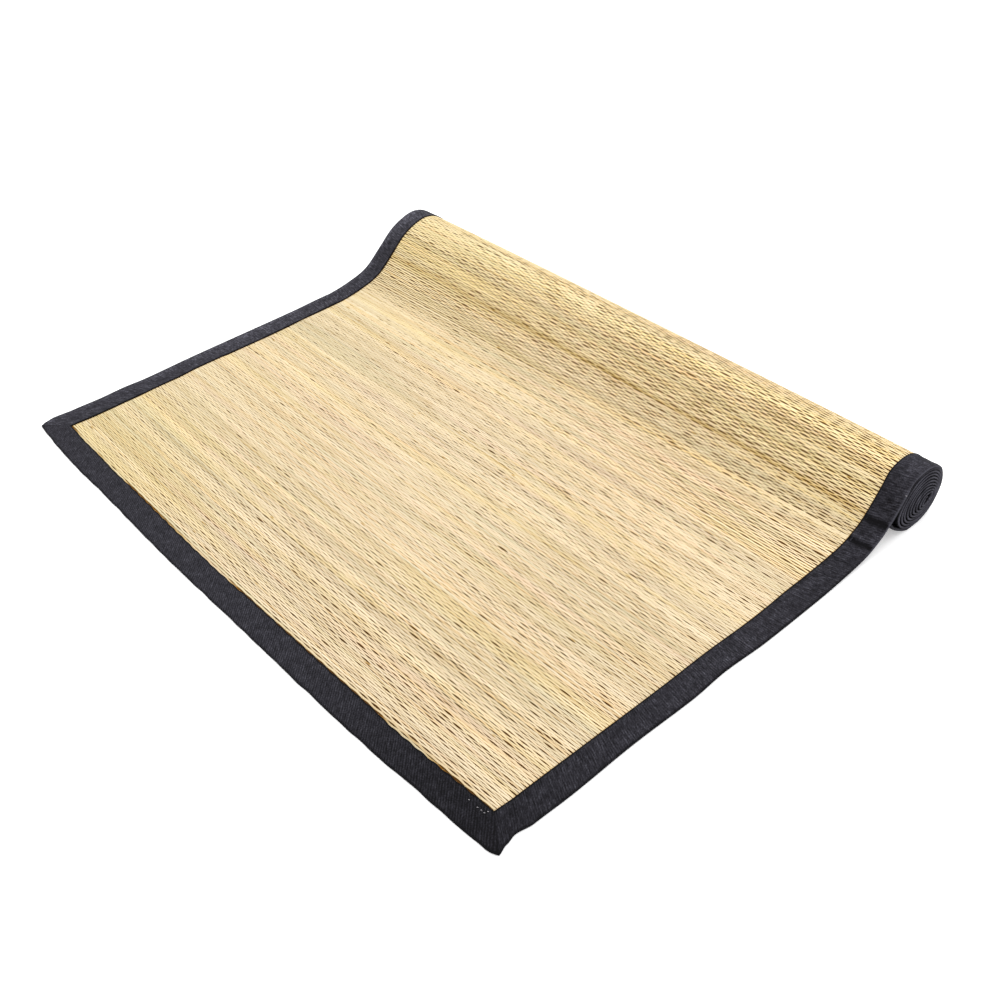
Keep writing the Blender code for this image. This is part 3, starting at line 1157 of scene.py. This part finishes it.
def puckers(along, inward, seed):
    """Small rises and dips of the tape's upper face."""
    draw = np.random.default_rng(seed)
    total = np.zeros(np.broadcast(along, inward).shape)
    for _ in range(PUCKER_WAVES):
        lean = draw.uniform(-PUCKER_LEAN, PUCKER_LEAN)
        scale = draw.uniform(*PUCKER_SCALES)
        total = total + np.sin(2 * math.pi * ((along + lean * inward) / scale + draw.uniform()))
    body = step(inward, *PUCKER_OUTER_STEP) * step(inward, *PUCKER_INNER_STEP)
    return total / math.sqrt(PUCKER_WAVES) * body


def tape_mesh(name, points, profile, along, values, material):
    """A tape's mesh from its grid of points, with its cloth coordinates and its values."""
    cut = line_lengths(profile)
    cloth = np.stack(np.broadcast_arrays(cut[None], along), axis=-1)
    flip = -1 if name == "right_tape" else 1
    faces = grid_faces(*points.shape[:2])[:, ::flip]
    return new_mesh(name, points, faces, cloth, material, values)


def front_tape(material):
    """The tape folded over the front end, bowed, scalloped where it crosses the warps."""
    profile = tape_profile(BINDING_THICKNESS, 0.0)
    inward = profile[:, 0]
    share = np.linspace(0, 1, FRONT_STEPS + 1)
    (left_tip, left_lip), (right_tip, right_lip) = corner(-1), corner(1)
    inner_x = blend(left_lip[0], right_lip[0], share)
    outer_x = blend(left_tip[0], right_tip[0], share)
    inner = ease(share * FRONT_END_RISE) * ease((1 - share) * FRONT_END_RISE)
    scallop = SCALLOP * np.cos(math.pi * inner_x / WARP_PITCH)
    scallop = scallop + INNER_WAVER * soft_noise(inner_x, 0.02, seed=42)
    inner_back = front_lip(inner_x) + scallop * inner
    outer_back = front_fold(outer_x) + OUTER_WAVER * soft_noise(outer_x, 0.03, seed=41) * inner
    out = 1 - inward / BINDING_WIDTH
    x = blend(inner_x[:, None], outer_x[:, None], out)
    back = blend(inner_back[:, None], outer_back[:, None], out)
    lift = FRONT_PUCKERS * puckers(x, inward, seed=43) - FRONT_SAG * sag(inward)
    height = profile[:, 1] + lift * top_mask(profile)
    height[[0, -1]] = np.minimum(height[[0, -1]], BINDING_THICKNESS - MITRE_DROP)
    dark = np.tile(lip_painted_shade(profile), (len(share), 1))
    dark[[0, -1]] = np.maximum(dark[[0, -1]], seam_dark(inward))
    # Painted shade along the flat fold, and broad stretches of painted light and shade across the front
    wear_and_painted_light = FOLD_PAINTED_SHADE * swelling(inward, 0.0, FOLD_SHADE_AND_WEAR_REACH) + painted_lightness(FRONT_PAINTED_TONES, x)
    points = to_frame(x, back, height)
    values = {"wear_and_painted_light": wear_and_painted_light, "dark": dark, "smooth": 0.0}
    return tape_mesh("front_tape", points, profile, x, values, material), points


def creases(back, inward, turns):
    """Depth of the creases across the right tape on the rise, with painted shade in the troughs and a
    painted highlight on the ridges.
    """
    depth, tone = 0.0, 0.0
    for place, wide, deep in CREASES:
        off = (back - place - CREASE_BEND * np.sin(inward * CREASE_BEND_TURN)) / wide
        trough, ridge = swelling(off, 0.0, 1.0), swelling(off, RIDGE_OFF, 1.0)
        depth = depth + deep * (trough - RIDGE_HEIGHT * ridge)
        # Painted shade in the trough and a painted highlight on the ridge
        tone = tone + deep / DEEP_CREASE * (RIDGE_PAINTED_HIGHLIGHT * ridge - TROUGH_PAINTED_SHADE * trough)
    held = step(inward, *CREASE_OUTER_STEP) * step(inward, *CREASE_INNER_STEP)
    on_rise = turns < CREASE_END_TURN
    return depth * held * on_rise, tone * on_rise


def side_columns(places, side):
    """X, the mat's line, its normals and lengths under each place of a side tape's section."""
    tip, lip = corner(side)
    columns = []
    for inward in places:
        out = 1 - inward / BINDING_WIDTH
        front_x, front = blend(lip, tip, out)
        line = mat_line(front_x, front, FLAT_STEPS)
        x = blend(lip_x(line[:, 0], side), fold_x(line[:, 0], side), out)
        mitre = 1 - ease((line[:, 0] - front) / MITRE_FADE)
        x = x + (front_x - x[0]) * mitre
        columns.append((x, line, line_normals(line), line_lengths(line)))
    return [np.stack(parts, axis=1) for parts in zip(*columns)]


def side_height(profile, lengths, turns, seed):
    """Height of a side tape's section over the mat's line: puckered in front, thinner in the roll."""
    inward, lift = profile.T
    thin = step(turns, *THINNING_STEP)
    thickness = blend(OUTER_THICKNESS, INNER_THICKNESS, turns / TURNS)
    thickness = blend(BINDING_THICKNESS, thickness, thin)
    centre = BINDING_THICKNESS / 2 - PANEL_THICKNESS + 0.0002
    share = (lift + PANEL_THICKNESS) / BINDING_THICKNESS
    height = blend(lift, centre + (share - 0.5) * thickness, thin)
    lumps = SIDE_PUCKERS * puckers(lengths, inward, seed) * (1 - 0.6 * thin)
    return height + top_mask(profile) * (lumps - TAPE_SAG * sag(inward))


def side_wear(profile, back, turns, light, seed):
    """Wear, painted light and shade, and smoothness of the fold, the faces and the inner turns."""
    inward = profile[:, 0]
    fold = swelling(inward, 0.0, FOLD_SHADE_AND_WEAR_REACH)
    rolled = step(back, *ROLLED_STEP)
    uneven = FOLD_WEAR_AND_HIGHLIGHT_UNEVEN * soft_noise(turns, 0.13, seed) * ease(turns * 4)
    # Round the roll the fold is paler from wear and a painted highlight, with painted shade where the
    # second turn begins
    wear_and_highlight = FOLD_WEAR_AND_HIGHLIGHT + uneven + painted_lightness([SECOND_TURN_PAINTED_SHADE], turns)
    # Painted shade in the roll: the inner turns black away from their folds
    inner = step(turns, *INNER_TURNS_STEP) * step(inward, *INNER_FACE_STEP)
    dark = np.maximum(lip_painted_shade(profile), INNER_TURNS_PAINTED_SHADE * inner)
    dark[0] = np.maximum(dark[0], seam_dark(inward))
    wear_and_painted_light = fold * blend(FOLD_PAINTED_SHADE, wear_and_highlight, rolled) + light * top_mask(profile)
    return {"wear_and_painted_light": wear_and_painted_light, "dark": dark, "smooth": fold * rolled}


def side_tape(name, side, material, seed, tones, outer_painted_light):
    """The tape along one side, mitred in front and wound up with the mat to the core."""
    profile = tape_profile(BINDING_THICKNESS - PANEL_THICKNESS, -PANEL_THICKNESS)
    inward = profile[:, 0]
    x, line, normals, lengths = side_columns(inward, side)
    counts = turn_counts()
    turns = np.concatenate([np.zeros(len(line) - len(counts)), counts])[:, None]
    height = side_height(profile, lengths, turns, seed + 1)
    # Painted light: broad stretches along the tape, and a lighter band towards its outer fold
    light = painted_lightness(tones, lengths) + outer_painted_light * ease(1 - inward / OUTER_PAINTED_LIGHT_REACH)
    if side > 0:
        depth, crease_painted_light = creases(line[..., 0], inward, turns)
        height = height - top_mask(profile) * depth
        light = light + crease_painted_light
    shift = turn_shift(turns) - side * fold_recess(turns)
    uneven = TURN_UNEVEN * ease(turns - UNEVEN_START) * soft_noise(turns, 0.4, seed)
    points = to_frame(x + shift + uneven, *beside_line(line, normals, 0.0, height))
    points[0, :, 2] = np.minimum(points[0, :, 2], BINDING_THICKNESS - MITRE_DROP)
    values = side_wear(profile, line[..., 0], turns, light, seed + 2)
    along = lengths[:, [len(profile) // 2]]
    return tape_mesh(name, points, profile, along, values, material), points


def stitch_line(points, last, flip):
    """Starts, ends and upward directions of the stitches along a tape's inner edge."""
    profile = tape_profile(BINDING_THICKNESS, 0.0)
    off = np.abs(profile[:, 0] - (BINDING_WIDTH - STITCH_INSET)) + (1 - top_mask(profile))
    column = int(np.argmin(off))
    line, beside = points[STITCH_FIRST:last, column], points[STITCH_FIRST:last, column + 1]
    lengths = line_lengths(line)
    places = np.arange(STITCH_PITCH, lengths[-1] - STITCH_LENGTH, STITCH_PITCH)

    def spot(values, wanted):
        return np.stack([np.interp(wanted, lengths, values[:, axis]) for axis in range(3)], axis=1)

    starts, ends = spot(line, places), spot(line, places + STITCH_LENGTH)
    ups = np.cross(ends - starts, spot(beside, places) - starts) * flip
    ups /= np.linalg.norm(ups, axis=1)[:, None]
    return starts, ends, ups


def stitch_mesh(name, starts, ends, ups, radius, material):
    """Short arches of thread from starts to ends, standing up along ups."""
    stations = np.linspace(0, 1, 4)
    around = np.linspace(0, math.pi, 4)
    run = ends - starts
    sideways = np.cross(run, ups)
    sideways /= np.linalg.norm(sideways, axis=1)[:, None]
    points = []
    for share in stations:
        centre = starts + run * share + ups * radius * (math.sin(math.pi * share) * 1.1 - 0.7)
        for turn in around:
            points.append(centre + sideways * radius * math.cos(turn) + ups * radius * math.sin(turn))
    points = np.stack(points, axis=1)
    points[..., 2] = np.maximum(points[..., 2], FLOOR_CLEAR)
    faces = grid_faces(len(stations), len(around), len(starts))
    cloth = np.stack([points[..., 0], points[..., 1] + points[..., 2]], axis=-1)
    return new_mesh(name, points, faces, cloth, material)


def stitches(name, points, last, flip, material):
    """The stitches along a tape's inner edge, up to a last row of its points."""
    return stitch_mesh(name, *stitch_line(points, last, flip), STITCH_RADIUS, material)


def pale_stitches(material):
    """The few pale stitches on the front tape near its right corner and a bit of lint on the roll."""
    x, back = np.array(PALE_STITCHES).T
    middles = to_frame(x, back, BINDING_THICKNESS)
    reach = np.array(PALE_REACH)
    ups = np.tile([0.0, 0.0, 1.0], (len(middles), 1))
    ends = (middles - reach, middles + reach)
    sewn = stitch_mesh("pale_stitches", *ends, ups, PALE_RADIUS, material)
    spot = to_frame(*LINT_PLACE)[None]
    ends = (spot - reach, spot + reach)
    return [sewn, stitch_mesh("pale_lint", *ends, np.array([LINT_UP]), LINT_RADIUS, material)]


# The studio


def overhead_light():
    """One large soft light that looks down at the mat."""
    light = bpy.data.lights.new("overhead_light", "AREA")
    light.size = OVERHEAD_SIZE
    light.energy = OVERHEAD_POWER
    lamp = bpy.data.objects.new("overhead_light", light)
    bpy.context.scene.collection.objects.link(lamp)
    lamp.location = OVERHEAD_PLACE
    lamp.rotation_euler = (-lamp.location).to_track_quat("-Z", "Y").to_euler()


def studio():
    """Pale floor, white surroundings and one large soft light overhead."""
    bpy.ops.mesh.primitive_plane_add(size=FLOOR_SIZE, location=(0, 0, -FLOOR_DROP))
    floor = bpy.context.object
    floor.name = "studio_floor"
    floor.data.materials.append(floor_material())
    world = bpy.data.worlds.new("studio_world")
    world.use_nodes = True
    backdrop = world.node_tree.nodes["Background"]
    backdrop.inputs["Color"].default_value = (1.0, 1.0, 1.0, 1.0)
    backdrop.inputs["Strength"].default_value = WORLD_STRENGTH
    bpy.context.scene.world = world
    overhead_light()
    bpy.context.scene.view_settings.view_transform = "Standard"


def photo_camera():
    """The camera at the photograph's angle."""
    data = bpy.data.cameras.new("photo_camera")
    data.lens = CAMERA_LENS
    data.sensor_width = CAMERA_SENSOR
    data.clip_start = CAMERA_CLIP
    camera = bpy.data.objects.new("photo_camera", data)
    bpy.context.scene.collection.objects.link(camera)
    turn = Matrix.Rotation(CAMERA_TURN, 4, "Z")
    tilt = Matrix.Rotation(CAMERA_TILT, 4, "X")
    lean = Matrix.Rotation(CAMERA_LEAN, 4, "Y")
    camera.matrix_world = Matrix.Translation(CAMERA_PLACE) @ turn @ tilt @ lean
    bpy.context.scene.camera = camera


# The build


def rise_and_turn(turned):
    """Count of line points from the foot of the rise to a share of the roll's first turn."""
    return (len(RISE_ROWS) - 1) * RISE_STEPS + round(turned * FIRST_TURN_STEPS)


def build_grass():
    """Core, reeds on both faces and warps. Gives back the core and the pieces on it."""
    stations, on_warp = warp_columns()
    lines, normals, lengths = panel_lines(stations)
    hidden = PANEL_STEPS + rise_and_turn(REEDS_END_TURN)
    strands = reed_strands(lengths[hidden], stations, lines, normals, lengths)
    core = core_sheet(core_shade_material())
    upper, lower = reed_material(), under_reed_material()
    pieces = []
    numbers = np.arange(len(strands["places"]))
    for place, keep in enumerate(np.array_split(numbers, REED_PIECES)):
        reeds = {name: values[keep] for name, values in strands.items()}
        pieces.append(reed_piece(f"reeds_{place + 1}", reeds, UPPER_PROFILE, 1, upper))
    bends = on_warp.copy()
    bends[[0, -1]] = True
    at_stations = [name for name, values in strands.items() if values.shape[1:2] == bends.shape]
    coarse = {**strands, **{name: strands[name][:, bends] for name in at_stations}}
    pieces.append(reed_piece("reeds_underside", coarse, LOWER_PROFILE, -1, lower))
    pieces.append(warp_piece(strands, on_warp, warp_material()))
    return core, pieces


def build_tapes():
    """The three tapes, and for each of them the pieces that are sewn to it."""
    # The fifth number is each tape's light level; the differences between them are painted light, the
    # left tape lightest and the right one darkest, as light falls on them
    front_cloth = tape_material("front_twill", FRONT_WALES, FRONT_PITCH, 0.26, 0.78, 0.45, 1.0)
    left_cloth = tape_material("left_twill", SIDE_WALES, SIDE_PITCH, 0.16, 1.10, 0.52, 8.0)
    right_cloth = tape_material("right_twill", SIDE_WALES, SIDE_PITCH, 0.16, 1.08, 0.37, 8.0)
    front, front_points = front_tape(front_cloth)
    left, left_points = side_tape("left_tape", -1, left_cloth, 71, LEFT_PAINTED_TONES, 0.13)
    right, right_points = side_tape("right_tape", 1, right_cloth, 61, RIGHT_PAINTED_TONES, 0.0)
    thread = thread_material("sewing_thread", srgb(34, 33, 39), srgb(78, 77, 86))
    pale = thread_material("pale_thread", srgb(128, 124, 128), srgb(170, 166, 168))
    last = FLAT_STEPS + rise_and_turn(STITCHES_END_TURN)
    front_last = len(front_points) - STITCH_FIRST
    sewn = (
        [stitches("front_stitches", front_points, front_last, 1, thread), *pale_stitches(pale)],
        [stitches("left_stitches", left_points, last, -1, thread)],
        [stitches("right_stitches", right_points, last, 1, thread)],
    )
    return (front, left, right), sewn


def main():
    core, grass = build_grass()
    tapes, sewn = build_tapes()
    threads = [piece for group in sewn for piece in group]
    for piece in (core, *grass, *tapes, *threads):
        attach(piece, "root")
    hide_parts("grass_panel")
    lengths = (WIDTH, MAT_LENGTH, MAT_LENGTH)
    nodes = ("front_binding", "left_binding", "right_binding")
    for tape, node, length, group in zip(tapes, nodes, lengths, sewn):
        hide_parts(node)
    studio()
    photo_camera()


main()
